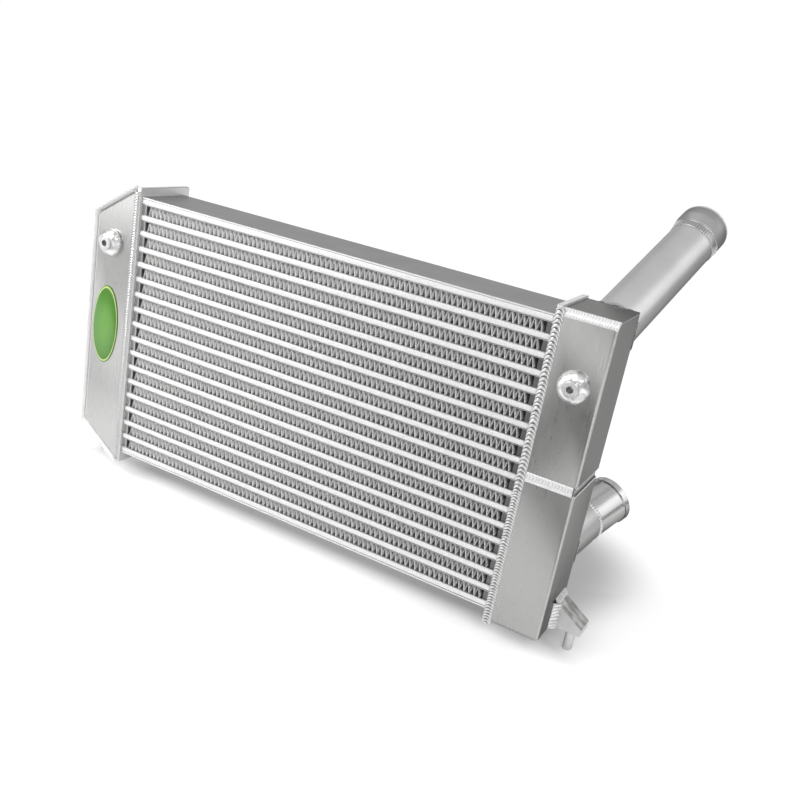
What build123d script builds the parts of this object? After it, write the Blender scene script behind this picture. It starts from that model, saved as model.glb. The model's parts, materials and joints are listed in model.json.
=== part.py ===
"""Air-to-air intercooler: a bar-and-plate core between two welded aluminium end tanks.

The right tank is split into an upper inlet box and a lower outlet box, so the air
crosses the core twice and turns round in the left tank. Millimetres, +Z up, +X to the
right along the core, +Y to the back. The origin is the middle of the left locating peg.
"""
import os
from math import atan2, hypot, radians, tan

from build123d import *

os.makedirs("parts", exist_ok=True)

# Locating pegs under the two lower brackets
peg_radius = 5.0
peg_length = 25.0
peg_tip_chamfer = 1.0
peg_neck_radius = 4.0
peg_head_radius = 7.0
peg_head_thickness = 2.0
peg_to_core_end = 70.0
peg_to_core_front = 48.5
bracket_to_core = 9.0

# Core, measured over the bars, the closing bars and the side plates
core_width = 486.0
core_depth = 70.0
fin_rows = 17
fin_height = 10.5
charge_height = 6.0
bar_width = 6.0
bar_edge_radius = 1.6
sheet_thickness = 0.5
side_plate_thickness = 2.0
closing_bar_width = 6.0
closing_bar_setback = 2.0

# Corrugated fins: the outside air passes along Y, the charge air along X
air_fin_pitch = 5.7
air_fin_sheet = 0.25
air_fin_crest = 0.9
air_fin_end_gap = 3.0
air_fin_setback = 1.5
charge_fin_pitch = 5.8
charge_fin_sheet = 0.3
charge_fin_crest = 1.0
charge_fin_end_gap = 4.0

# Header plates: a frame round each end of the core
header_thickness = 6.0
header_above_core = 9.5
header_below_core = 12.5
header_behind_core = 8.0
header_corner_radius = 3.0

# Tanks, folded and welded from one thickness of sheet
tank_wall = 3.0
tank_proud = 2.0
fold_radius = 3.0
left_tank_width = 56.0
left_tank_below_header = 1.0
left_tank_slant = 37.3
left_fold_radius = 6.0
right_tank_width = 53.0
right_tank_below_header = 2.0
bottom_fold_radius = 6.0
lower_tank_height = 158.0
divider_thickness = 6.0
divider_bevel = 2.0

# Weld beads
column_width = 9.0
column_rise = 2.5
column_end_inset = 3.0
back_bead_leg = 4.0
left_edge_bead_radius = 4.0
top_edge_bead_radius = 7.0
seam_bead_rise = 1.4
pipe_bead_leg = 3.5
mitre_bead_width = 5.0
mitre_bead_rise = 0.9

# Threaded bosses on the front of both tanks
boss_radius = 8.0
boss_height = 12.0
boss_edge_chamfer = 0.8
boss_hole_radius = 3.4
boss_hole_depth = 10.0
boss_below_core_top = 59.5
left_boss_from_core = 37.0
right_boss_from_core = 33.0
boss_bead_radius = 15.0
boss_bead_height = 8.0
boss_bead_bulge = 2.0

# Pipes, of one bore and wall up to their widened ends
pipe_radius = 25.0
pipe_wall = 2.0
upper_pipe_inboard = 26.0
upper_pipe_below_top = 25.2
upper_pipe_lean = 9.26
upper_pipe_rise = 26.46
upper_pipe_length = 186.0
upper_port_radius = 18.5
upper_flare_length = 10.0
upper_end_length = 14.0
upper_end_radius = 27.0
upper_end_lift = 2.2
lower_pipe_inboard = 26.0
lower_pipe_above_bottom = 72.5
lower_root_lean = 9.15
lower_root_rise = 9.25
lower_root_length = 62.3
lower_outlet_lean = 20.95
lower_outlet_rise = 21.25
lower_outlet_length = 48.5
lower_end_radius = 26.5
lower_end_length = 7.0
end_edge_radius = 0.7

# Lower brackets: folded sheet with a closed cheek in front
bracket_thickness = 3.0
bracket_setback = 35.0
bracket_depth = 27.0
bracket_height = 28.0
bracket_tip_height = 7.0
right_bracket_inboard = 20.0
right_bracket_outboard = 12.0
left_bracket_inboard = 20.0
left_bracket_top_inboard = 12.0
left_bracket_outboard = 16.0
bracket_bead_leg = 7.0
bracket_top_bead_leg = 4.0

# Oval badge on the left tank
badge_width = 37.0
badge_height = 93.0
badge_thickness = 1.8
badge_edge_radius = 0.9
badge_from_core = 37.5
badge_above_core_bottom = 151.0

# Places worked out from the sizes above
core_left = peg_to_core_end
core_right = core_left + core_width
core_front = -peg_to_core_front
core_back = core_front + core_depth
bracket_floor = peg_length / 2
core_bottom = bracket_floor + bracket_to_core
row_pitch = fin_height + 2 * sheet_thickness + charge_height
core_height = 2 * side_plate_thickness + fin_rows * row_pitch + charge_height
core_top = core_bottom + core_height
first_charge = core_bottom + side_plate_thickness
first_fin = first_charge + charge_height + sheet_thickness
passage_depth = core_depth - 2 * bar_width
header_bottom = core_bottom - header_below_core
header_top = core_top + header_above_core
header_back = core_back + header_behind_core
tank_front = core_front - tank_proud
tank_back = core_back + tank_proud
tank_bottom = header_bottom
left_top = header_top - left_tank_below_header
right_top = header_top - right_tank_below_header
left_inner = core_left - header_thickness
left_outer = left_inner - left_tank_width
right_inner = core_right + header_thickness
right_outer = right_inner + right_tank_width
divider_low = tank_bottom + lower_tank_height + divider_bevel
divider_high = divider_low + divider_thickness
boss_z = core_top - boss_below_core_top
bracket_y = core_front + bracket_setback
bore_radius = pipe_radius - pipe_wall


def save(part, name):
    """Label a finished piece and write it under the same name."""
    part.label = name
    export_step(part, f"parts/{name}.step")


def block(x0, x1, y0, y1, z0, z1, mode=Mode.ADD):
    """Add a block, given by its limits, to the part in work."""
    with BuildSketch(Plane.XY.offset(z0)) as base:
        with Locations(((x0 + x1) / 2, (y0 + y1) / 2)):
            Rectangle(x1 - x0, y1 - y0)
    extrude(base.sketch, amount=z1 - z0, mode=mode)


def prism_along_y(points, y0, y1, mode=Mode.ADD):
    """Add a prism to the part in work, from an outline of X and Z places."""
    with BuildSketch(Plane.XZ.offset(-y0)) as front:
        with BuildLine():
            Polyline(*points, close=True)
        make_face()
    extrude(front.sketch, amount=y0 - y1, mode=mode)


def corrugation(length, height, pitch, sheet, crest):
    """Outline of a corrugated sheet from (0, 0), with as many whole waves as fit."""
    waves = max(1, round((length - crest) / pitch))
    half_wave = (length - crest) / (2 * waves)
    slope = atan2(height - sheet, half_wave - crest)
    outer = crest / 2
    inner = outer - sheet * tan(slope / 2)
    under = []
    over = []
    for step in range(2 * waves + 1):
        middle = outer + step * half_wave
        if step % 2:
            under += [(middle - inner, height - sheet), (middle + inner, height - sheet)]
            over += [(middle - outer, height), (middle + outer, height)]
        else:
            under += [(middle - outer, 0), (middle + outer, 0)]
            over += [(middle - inner, sheet), (middle + inner, sheet)]
    return under + over[::-1]


# Side plates and parting sheets of the core
with BuildPart() as core_bottom_plate:
    block(core_left, core_right, core_front, core_back, core_bottom, first_charge)
save(core_bottom_plate.part, "core_bottom_plate")

with BuildPart() as core_top_plate:
    block(core_left, core_right, core_front, core_back, core_top - side_plate_thickness, core_top)
save(core_top_plate.part, "core_top_plate")

core_middle = (core_front + core_back) / 2
row_middles = [first_fin + fin_height / 2 + row * row_pitch for row in range(fin_rows)]
passage_middles = [first_charge + charge_height / 2 + layer * row_pitch for layer in range(fin_rows + 1)]

with BuildPart() as parting_sheets:
    with BuildSketch(Plane.YZ.offset(core_left)):
        for side in (-1, 1):
            sheet_step = side * (fin_height + sheet_thickness) / 2
            with Locations(*[(core_middle, middle + sheet_step) for middle in row_middles]):
                Rectangle(core_depth, sheet_thickness)
    extrude(amount=core_width)
save(parting_sheets.part, "parting_sheets")


def long_bars(front, shown_side):
    """One bar per charge passage, rounded on the side that shows."""
    with BuildPart() as bars:
        with BuildSketch(Plane.YZ.offset(core_left)):
            with Locations(*[(front + bar_width / 2, middle) for middle in passage_middles]):
                Rectangle(bar_width, charge_height)
        extrude(amount=core_width)
        shown_faces = bars.faces().filter_by(Axis.Y).group_by(Axis.Y)[shown_side]
        fillet(shown_faces.edges(), bar_edge_radius)
    return bars.part


save(long_bars(core_front, 0), "front_bars")
save(long_bars(core_back - bar_width, -1), "back_bars")


def closing_bars(left):
    """Short bars that close the ends of the fin rows, set back from both faces."""
    with BuildPart() as bars:
        with BuildSketch(Plane.YZ.offset(left)):
            with Locations(*[(core_middle, middle) for middle in row_middles]):
                Rectangle(core_depth - 2 * closing_bar_setback, fin_height)
        extrude(amount=closing_bar_width)
    return bars.part


save(closing_bars(core_left), "left_closing_bars")
save(closing_bars(core_right - closing_bar_width), "right_closing_bars")

# Air fins: the lowest row's corrugated sheet, drawn from its front, and its copies above it
air_fin_left = core_left + closing_bar_width + air_fin_end_gap
air_fin_length = core_width - 2 * (closing_bar_width + air_fin_end_gap)
air_fin_outline = corrugation(air_fin_length, fin_height, air_fin_pitch, air_fin_sheet, air_fin_crest)
first_row_front = Plane(origin=(air_fin_left, core_front + air_fin_setback, first_fin),
                        x_dir=(1, 0, 0), z_dir=(0, -1, 0))
with BuildPart() as lowest_air_fin:
    with BuildSketch(first_row_front):
        with BuildLine():
            Polyline(*air_fin_outline, close=True)
        make_face()
    extrude(amount=2 * air_fin_setback - core_depth)

for row in range(fin_rows):
    with BuildPart() as air_fin:
        with Locations((0, 0, row * row_pitch)):
            add(lowest_air_fin.part)
    save(air_fin.part, f"air_fin_{row + 1:02d}")

# Charge fins between the long bars, with their waves across the passage
charge_fin_outline = corrugation(passage_depth, charge_height, charge_fin_pitch, charge_fin_sheet,
                                 charge_fin_crest)
first_passage_end = Plane(origin=(core_left + charge_fin_end_gap, core_front + bar_width, first_charge),
                          x_dir=(0, 1, 0), z_dir=(1, 0, 0))
with BuildPart() as lowest_charge_fin:
    with BuildSketch(first_passage_end):
        with BuildLine():
            Polyline(*charge_fin_outline, close=True)
        make_face()
    extrude(amount=core_width - 2 * charge_fin_end_gap)

with BuildPart() as charge_fins:
    with Locations(*[(0, 0, layer * row_pitch) for layer in range(fin_rows + 1)]):
        add(lowest_charge_fin.part)
save(charge_fins.part, "charge_fins")


def header_plate(left, windows):
    """A plate with windows, each from one height to another, for the charge air."""
    with BuildPart() as plate:
        block(left, left + header_thickness, tank_front, header_back, header_bottom, header_top)
        fillet(plate.edges().filter_by(Axis.X).group_by(Axis.Y)[-1], header_corner_radius)
        for low, high in windows:
            block(left, left + header_thickness, core_front + bar_width, core_back - bar_width, low, high,
                  mode=Mode.SUBTRACT)
    return plate.part


window_top = core_top - side_plate_thickness
save(header_plate(left_inner, [(first_charge, window_top)]), "left_header_plate")
save(header_plate(core_right, [(first_charge, divider_low), (divider_high, window_top)]),
     "right_header_plate")


def left_outline(inset):
    """The left tank's outline in X and Z, or the same outline moved inwards."""
    slope = left_tank_slant / left_tank_width
    drop = inset * hypot(left_tank_width, left_tank_slant) / left_tank_width
    outer = left_outer + inset
    rise_left = slope * (left_inner - outer)
    return [
        (left_inner, tank_bottom + drop),
        (left_inner, left_top - drop),
        (outer, left_top - drop - rise_left),
        (outer, tank_bottom + drop + rise_left),
    ]


def left_body(front, back, inset, corner_radius):
    """A solid of the left tank's outline, rounded at its two outer corners."""
    with BuildPart() as body:
        prism_along_y(left_outline(inset), front, back)
        fillet(body.edges().filter_by(Axis.Y).group_by(Axis.X)[0], corner_radius)
    return body.part


def front_rim(body):
    """The front edges of the left body, but for the one at the header plate."""
    return body.faces().sort_by(Axis.Y)[0].edges().sort_by(Axis.X)[:-1]


left_whole = left_body(tank_front, tank_back, 0, left_fold_radius)
left_space = left_body(tank_front + tank_wall, tank_back - tank_wall, tank_wall,
                       left_fold_radius - tank_wall)

with BuildPart() as left_bevelled:
    add(left_whole)
    chamfer(front_rim(left_bevelled), left_edge_bead_radius)

with BuildPart() as left_tank_front:
    add(left_bevelled.part)
    block(left_outer, left_inner, tank_front, tank_front + tank_wall, tank_bottom, left_top,
          mode=Mode.INTERSECT)
save(left_tank_front.part, "left_tank_front")

with BuildPart() as left_tank_back:
    add(left_whole)
    block(left_outer, left_inner, tank_back - tank_wall, tank_back, tank_bottom, left_top,
          mode=Mode.INTERSECT)
save(left_tank_back.part, "left_tank_back")

with BuildPart() as left_tank_wrap:
    add(left_bevelled.part)
    add(left_space, mode=Mode.SUBTRACT)
    add(left_tank_front.part, mode=Mode.SUBTRACT)
    add(left_tank_back.part, mode=Mode.SUBTRACT)
save(left_tank_wrap.part, "left_tank_wrap")

with BuildPart() as left_tank_bead:
    add(left_whole)
    fillet(front_rim(left_tank_bead), left_edge_bead_radius)
    add(left_bevelled.part, mode=Mode.SUBTRACT)
save(left_tank_bead.part, "left_tank_bead")

# Pipe axes: both lean outboard and rise towards the back
upper_root = Vector(right_outer - upper_pipe_inboard, tank_back, right_top - upper_pipe_below_top)
upper_axis = Vector(tan(radians(upper_pipe_lean)), 1, tan(radians(upper_pipe_rise))).normalized()
lower_root = Vector(right_outer - lower_pipe_inboard, tank_back, tank_bottom + lower_pipe_above_bottom)
lower_axis = Vector(tan(radians(lower_root_lean)), 1, tan(radians(lower_root_rise))).normalized()
outlet_axis = Vector(tan(radians(lower_outlet_lean)), 1, tan(radians(lower_outlet_rise))).normalized()
mitre_point = lower_root + lower_axis * lower_root_length
mitre_normal = (lower_axis + outlet_axis).normalized()
mitre_plane = Plane(origin=mitre_point, x_dir=outlet_axis - lower_axis, z_dir=mitre_normal)
pipe_lead = 2 * pipe_radius


def rod(start, axis, radius, length):
    """A round bar that begins one pipe diameter before its start point."""
    with BuildPart() as bar:
        with BuildSketch(Plane(origin=start - axis * pipe_lead, z_dir=axis)):
            Circle(radius)
        extrude(amount=length + pipe_lead)
    return bar.part


def root_plane(root, axis, offset):
    """A plane parallel to the tank's back whose X is the long way of the pipe's ellipse."""
    return Plane(origin=root + Vector(0, offset, 0), x_dir=(axis.X, 0, axis.Z), z_dir=(0, 1, 0))


def root_bead(root, axis):
    """A fillet weld round a slanting pipe, kept to the back wall of the tank."""
    half_length = pipe_radius / axis.Y
    with BuildPart() as bead:
        with BuildSketch(root_plane(root, axis, 0)):
            Ellipse(half_length + pipe_bead_leg, pipe_radius + pipe_bead_leg)
        with BuildSketch(root_plane(root, axis, pipe_bead_leg)):
            Ellipse(half_length, pipe_radius)
        loft()
        add(rod(root, axis, pipe_radius, pipe_lead), mode=Mode.SUBTRACT)
        block(right_inner, right_outer, tank_back, tank_back + pipe_bead_leg, tank_bottom, right_top,
              mode=Mode.INTERSECT)
    return bead.part


upper_bead = root_bead(upper_root, upper_axis)
lower_bead = root_bead(lower_root, lower_axis)
save(upper_bead, "upper_pipe_bead")
save(lower_bead, "lower_pipe_bead")

# The bevel for the bead along the top front edge of the upper right box
with BuildPart() as top_edge_bevel:
    with BuildSketch(Plane.YZ.offset(right_inner)):
        with BuildLine():
            Polyline((tank_front, right_top), (tank_front + top_edge_bead_radius, right_top),
                     (tank_front, right_top - top_edge_bead_radius), close=True)
        make_face()
    extrude(amount=right_tank_width)

with BuildPart() as upper_tank_bead:
    with BuildSketch(Plane.YZ.offset(right_inner)):
        with BuildLine():
            bead_top = (tank_front + top_edge_bead_radius, right_top)
            bead_foot = (tank_front, right_top - top_edge_bead_radius)
            Line(bead_foot, bead_top)
            RadiusArc(bead_top, bead_foot, -top_edge_bead_radius)
        make_face()
    extrude(amount=right_tank_width)
save(upper_tank_bead.part, "upper_tank_bead")


def box_space(low, high, mode):
    """The room inside a right-hand box between two heights."""
    block(right_inner, right_outer - tank_wall, tank_front + tank_wall, tank_back - tank_wall, low, high,
          mode=mode)


def outer_folds(part):
    """The two upright edges furthest to the right."""
    return part.edges().filter_by(Axis.Z).group_by(Axis.X)[-1]


# Upper right box: a folded shell bevelled at its foot, and a lid
lid_low = right_top - tank_wall
with BuildPart() as upper_tank:
    block(right_inner, right_outer, tank_front, tank_back, divider_high, lid_low)
    fillet(outer_folds(upper_tank), fold_radius)
    chamfer(upper_tank.faces().sort_by(Axis.Z)[0].edges().sort_by(Axis.X)[1:], divider_bevel)
    box_space(divider_high, lid_low, Mode.SUBTRACT)
    add(top_edge_bevel.part, mode=Mode.SUBTRACT)
    add(rod(upper_root, upper_axis, upper_port_radius, pipe_lead), mode=Mode.SUBTRACT)
save(upper_tank.part, "upper_tank")

with BuildPart() as upper_tank_lid:
    block(right_inner, right_outer, tank_front, tank_back, lid_low, right_top)
    fillet(outer_folds(upper_tank_lid), fold_radius)
    add(top_edge_bevel.part, mode=Mode.SUBTRACT)
save(upper_tank_lid.part, "upper_tank_lid")

# Lower right box: shell and floor folded in one, bevelled at its top
with BuildPart() as lower_tank:
    block(right_inner, right_outer, tank_front, tank_back, tank_bottom, divider_low)
    fillet(lower_tank.faces().sort_by(Axis.Z)[0].edges().sort_by(Axis.Y)[0], bottom_fold_radius)
    fillet(outer_folds(lower_tank), fold_radius)
    chamfer(lower_tank.faces().sort_by(Axis.Z)[-1].edges().sort_by(Axis.X)[1:], divider_bevel)
    box_space(tank_bottom + tank_wall, divider_low, Mode.SUBTRACT)
    add(rod(lower_root, lower_axis, bore_radius, pipe_lead), mode=Mode.SUBTRACT)
save(lower_tank.part, "lower_tank")

with BuildPart() as divider_plate:
    block(right_inner, right_outer - divider_bevel, tank_front + divider_bevel, tank_back - divider_bevel,
          divider_low, divider_high)
save(divider_plate.part, "divider_plate")

with BuildPart() as seam_bead:
    seam_low = divider_low - divider_bevel
    seam_high = divider_high + divider_bevel
    with BuildSketch(Plane.YZ.offset(core_right + column_width)):
        with BuildLine():
            bead_side = Polyline((tank_front, seam_low), (tank_front + divider_bevel, divider_low),
                                 (tank_front + divider_bevel, divider_high), (tank_front, seam_high))
            ThreePointArc(bead_side @ 1, (tank_front - seam_bead_rise, (seam_low + seam_high) / 2),
                          bead_side @ 0)
        make_face()
    extrude(amount=right_outer - fold_radius - core_right - column_width)
save(seam_bead.part, "seam_bead")


def front_column(left, low, high):
    """The weld that joins a header plate to its tank on the front."""
    with BuildPart() as column:
        with BuildSketch(Plane.XY.offset(low)):
            with BuildLine():
                Line((left, tank_front), (left + column_width, tank_front))
                ThreePointArc((left + column_width, tank_front),
                              (left + column_width / 2, tank_front - column_rise), (left, tank_front))
            make_face()
        extrude(amount=high - low)
    return column.part


save(front_column(core_left - column_width, tank_bottom + column_end_inset, left_top - column_end_inset),
     "left_front_bead")
save(front_column(core_right, tank_bottom, right_top), "right_front_bead")


def back_column(corner, side):
    """The fillet weld between a tank's back wall and the step of its header plate."""
    with BuildPart() as column:
        with BuildSketch(Plane.XY.offset(tank_bottom + column_end_inset)):
            with BuildLine():
                Polyline((corner, tank_back), (corner + side * back_bead_leg, tank_back),
                         (corner, tank_back + back_bead_leg), close=True)
            make_face()
        extrude(amount=right_top - tank_bottom - 2 * column_end_inset)
    return column.part


save(back_column(left_inner, -1), "left_back_bead")

# The right one stops at the beads round the pipes
with BuildPart() as right_back_bead:
    add(back_column(right_inner, 1))
    for root, axis in ((upper_root, upper_axis), (lower_root, lower_axis)):
        with BuildSketch(root_plane(root, axis, 0)):
            Ellipse(pipe_radius / axis.Y + pipe_bead_leg, pipe_radius + pipe_bead_leg)
        extrude(amount=back_bead_leg, mode=Mode.SUBTRACT)
save(right_back_bead.part, "right_back_bead")


def boss(x):
    """A round boss with a blind threaded hole, standing on the front of a tank."""
    with BuildPart() as piece:
        with BuildSketch(Plane.XZ.offset(-tank_front)):
            with Locations((x, boss_z)):
                Circle(boss_radius)
        extrude(amount=boss_height)
        chamfer(piece.edges().filter_by(GeomType.CIRCLE).sort_by(Axis.Y)[0], boss_edge_chamfer)
        with Locations(Plane.XZ.offset(boss_height - tank_front).location * Pos(x, boss_z)):
            Hole(boss_hole_radius, boss_hole_depth)
    return piece.part


def boss_bead(x):
    """The heavy ring of weld round the foot of a boss."""
    slant = Vector(boss_bead_radius - boss_radius, boss_bead_height).normalized()
    bulge = Vector(slant.Y, slant.X) * boss_bead_bulge
    middle = Vector((boss_radius + boss_bead_radius) / 2, boss_bead_height / 2) + bulge
    with BuildPart() as ring:
        with BuildSketch(Plane(origin=(x, tank_front, boss_z), x_dir=(1, 0, 0), z_dir=(0, 0, 1))):
            with BuildLine():
                Polyline((boss_radius, -boss_bead_height), (boss_radius, 0), (boss_bead_radius, 0))
                ThreePointArc((boss_bead_radius, 0), (middle.X, -middle.Y),
                              (boss_radius, -boss_bead_height))
            make_face()
        revolve(axis=Axis((x, tank_front, boss_z), (0, 1, 0)))
    return ring.part


for side, boss_x in (("left", core_left - left_boss_from_core), ("right", core_right + right_boss_from_core)):
    save(boss(boss_x), f"{side}_boss")
    save(boss_bead(boss_x), f"{side}_boss_bead")

# Upper pipe, cut square at its far end and flush with the tank's back wall at its root
back_wall = Plane(origin=(0, tank_back, 0), z_dir=(0, 1, 0))
with BuildPart() as upper_pipe:
    add(rod(upper_root, upper_axis, pipe_radius, upper_pipe_length))
    add(rod(upper_root, upper_axis, bore_radius, upper_pipe_length), mode=Mode.SUBTRACT)
    split(bisect_by=back_wall, keep=Keep.TOP)
save(upper_pipe.part, "upper_pipe")

# Its end piece: a short flare, then a wider sleeve set a little higher than the pipe
sideways = upper_axis.cross(Vector(0, 0, 1)).normalized()
upwards = sideways.cross(upper_axis)
joint_centre = upper_root + upper_axis * upper_pipe_length
sleeve_centre = joint_centre + upper_axis * upper_flare_length + upwards * upper_end_lift
joint_plane = Plane(origin=joint_centre, x_dir=sideways, z_dir=upper_axis)
sleeve_plane = Plane(origin=sleeve_centre, x_dir=sideways, z_dir=upper_axis)


def flared_end(thinner):
    """The end piece as a solid bar, or its bore when made thinner by the wall."""
    with BuildPart() as bar:
        with BuildSketch(joint_plane):
            Circle(pipe_radius - thinner)
        with BuildSketch(sleeve_plane):
            Circle(upper_end_radius - thinner)
        loft()
        with BuildSketch(sleeve_plane):
            Circle(upper_end_radius - thinner)
        extrude(amount=upper_end_length)
        if thinner == 0:
            rim = bar.edges().filter_by(GeomType.CIRCLE).sort_by(Axis(joint_centre, upper_axis))[-1]
            fillet(rim, end_edge_radius)
    return bar.part


with BuildPart() as upper_pipe_end:
    add(flared_end(0))
    add(flared_end(pipe_wall), mode=Mode.SUBTRACT)
save(upper_pipe_end.part, "upper_pipe_end")

# Lower pipe: a root piece and an outlet piece that meet at a mitre
lower_reach = lower_root_length + pipe_lead
with BuildPart() as lower_pipe_root:
    add(rod(lower_root, lower_axis, pipe_radius, lower_reach))
    add(rod(lower_root, lower_axis, bore_radius, lower_reach), mode=Mode.SUBTRACT)
    split(bisect_by=back_wall, keep=Keep.TOP)
    split(bisect_by=mitre_plane, keep=Keep.BOTTOM)
save(lower_pipe_root.part, "lower_pipe_root")

lip_plane = Plane(origin=mitre_point + outlet_axis * (lower_outlet_length - lower_end_length),
                  z_dir=outlet_axis)
with BuildPart() as lower_pipe_outlet:
    add(rod(mitre_point, outlet_axis, pipe_radius, lower_outlet_length))
    with BuildSketch(lip_plane):
        Circle(lower_end_radius)
    extrude(amount=lower_end_length)
    lip_edges = lower_pipe_outlet.edges().filter_by(GeomType.CIRCLE)
    fillet(lip_edges.sort_by(Axis(mitre_point, outlet_axis))[-1], end_edge_radius)
    add(rod(mitre_point, outlet_axis, bore_radius, lower_outlet_length), mode=Mode.SUBTRACT)
    split(bisect_by=mitre_plane, keep=Keep.TOP)
save(lower_pipe_outlet.part, "lower_pipe_outlet")

with BuildPart() as lower_mitre_bead:
    with BuildSketch(mitre_plane):
        long_radius = pipe_radius / lower_axis.dot(mitre_normal)
        Ellipse(long_radius + mitre_bead_rise, pipe_radius + mitre_bead_rise)
    extrude(amount=mitre_bead_width / 2, both=True)
    add(lower_pipe_root.part, mode=Mode.SUBTRACT)
    add(lower_pipe_outlet.part, mode=Mode.SUBTRACT)
    for run_axis in (lower_axis, outlet_axis):
        with BuildSketch(Plane(origin=mitre_point, z_dir=run_axis)):
            Circle(bore_radius + pipe_wall / 2)
        extrude(amount=mitre_bead_width, both=True, mode=Mode.SUBTRACT)
save(lower_mitre_bead.part, "lower_mitre_bead")


def sheet_bracket(outline, space, peg_x):
    """A bracket of an outline in X and Z, hollow behind its front cheek."""
    with BuildPart() as bracket:
        prism_along_y(outline, bracket_y, bracket_y + bracket_depth)
        prism_along_y(space, bracket_y + bracket_thickness, bracket_y + bracket_depth, Mode.SUBTRACT)
        with BuildSketch(Plane.XY.offset(bracket_floor)):
            with Locations((peg_x, 0)):
                Circle(peg_neck_radius)
        extrude(amount=bracket_thickness, mode=Mode.SUBTRACT)
    return bracket.part


def slope_inset(outer_tip, tip_z, top_x, top_z):
    """How far a sloping plate of the bracket's thickness reaches along Z."""
    run = abs(outer_tip - top_x)
    return bracket_thickness * hypot(run, top_z - tip_z) / run


# Right bracket, on the end wall of the lower box
right_peg_x = right_outer + right_bracket_inboard
tip_x = right_peg_x + right_bracket_outboard
tip_z = bracket_floor + bracket_tip_height
right_bracket_top = bracket_floor + bracket_height
right_slope = (right_bracket_top - tip_z) / (tip_x - right_outer)
right_drop = slope_inset(tip_x, tip_z, right_outer, right_bracket_top)
right_bracket_outline = [
    (right_outer, bracket_floor),
    (tip_x, bracket_floor),
    (tip_x, tip_z),
    (right_outer, right_bracket_top),
]
right_bracket_space = [
    (right_outer, bracket_floor + bracket_thickness),
    (tip_x - bracket_thickness, bracket_floor + bracket_thickness),
    (tip_x - bracket_thickness, tip_z - right_drop + bracket_thickness * right_slope),
    (right_outer, right_bracket_top - right_drop),
]
save(sheet_bracket(right_bracket_outline, right_bracket_space, right_peg_x), "right_bracket")

# Left bracket, under the slanted bottom of the left tank
bottom_slope = left_tank_slant / left_tank_width


def left_bottom_z(x):
    """Height of the left tank's slanted bottom."""
    return tank_bottom + bottom_slope * (left_inner - x)


left_tip_x = -left_bracket_outboard
left_top_x = left_bracket_top_inboard
left_foot_x = left_bracket_inboard
left_slope = (left_bottom_z(left_top_x) - tip_z) / (left_top_x - left_tip_x)
left_drop = slope_inset(left_tip_x, tip_z, left_top_x, left_bottom_z(left_top_x))
space_tip_x = left_tip_x + bracket_thickness
space_tip_z = tip_z + left_slope * bracket_thickness - left_drop
space_top_x = left_top_x + left_drop / (left_slope + bottom_slope)
left_bracket_outline = [
    (left_tip_x, bracket_floor),
    (left_foot_x, bracket_floor),
    (left_foot_x, left_bottom_z(left_foot_x)),
    (left_top_x, left_bottom_z(left_top_x)),
    (left_tip_x, tip_z),
]
left_bracket_space = [
    (space_tip_x, bracket_floor + bracket_thickness),
    (left_foot_x - bracket_thickness, bracket_floor + bracket_thickness),
    (left_foot_x - bracket_thickness, left_bottom_z(left_foot_x - bracket_thickness)),
    (space_top_x, left_bottom_z(space_top_x)),
    (space_tip_x, space_tip_z),
]
save(sheet_bracket(left_bracket_outline, left_bracket_space, 0), "left_bracket")

# Weld of the right bracket: a heavy one before the cheek and a light one on the slope
with BuildPart() as right_bracket_bead:
    with BuildSketch(Plane.XY.offset(bracket_floor)):
        with BuildLine():
            Polyline((right_outer, bracket_y), (right_outer + bracket_bead_leg, bracket_y),
                     (right_outer, bracket_y - bracket_bead_leg), close=True)
        make_face()
    extrude(amount=bracket_height - bracket_bead_leg * right_slope)
    prism_along_y([(right_outer, right_bracket_top),
                   (right_outer + bracket_top_bead_leg,
                    right_bracket_top - bracket_top_bead_leg * right_slope),
                   (right_outer, right_bracket_top + bracket_top_bead_leg)],
                  bracket_y, bracket_y + bracket_depth)
save(right_bracket_bead.part, "right_bracket_bead")

# Weld of the left bracket: before its cheek, along the tank's slanted bottom
slanted_bottom = Plane(origin=(left_foot_x, bracket_y, left_bottom_z(left_foot_x)),
                       x_dir=(0, -1, 0), z_dir=(-1, 0, bottom_slope))
with BuildPart() as left_bracket_bead:
    with BuildSketch(slanted_bottom):
        with BuildLine():
            Polyline((0, 0), (bracket_top_bead_leg, 0), (0, -bracket_top_bead_leg), close=True)
        make_face()
    extrude(amount=(left_foot_x - left_top_x) * hypot(1, bottom_slope))
save(left_bracket_bead.part, "left_bracket_bead")


def peg(x):
    """A peg with a shoulder under its bracket, a neck through it and a head on its floor."""
    with BuildPart() as pin:
        low = -peg_length / 2
        for radius, height in ((peg_radius, peg_length), (peg_neck_radius, bracket_thickness),
                               (peg_head_radius, peg_head_thickness)):
            with BuildSketch(Plane.XY.offset(low)):
                with Locations((x, 0)):
                    Circle(radius)
            extrude(amount=height)
            low += height
        chamfer(pin.edges().filter_by(GeomType.CIRCLE).sort_by(Axis.Z)[0], peg_tip_chamfer)
    return pin.part


save(peg(0), "left_peg")
save(peg(right_peg_x), "right_peg")

# Oval badge, slightly rounded, on the front of the left tank
badge_place = (core_left - badge_from_core, core_bottom + badge_above_core_bottom)
with BuildPart() as badge:
    with BuildSketch(Plane.XZ.offset(-tank_front)):
        with Locations(badge_place):
            Ellipse(badge_width / 2, badge_height / 2)
    extrude(amount=badge_thickness)
    fillet(badge.faces().sort_by(Axis.Y)[0].edges(), badge_edge_radius)
save(badge.part, "badge")
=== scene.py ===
import json
from math import cos, pi, radians, sin, tan

import bmesh
import bpy
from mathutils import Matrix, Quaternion, Vector


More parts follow.
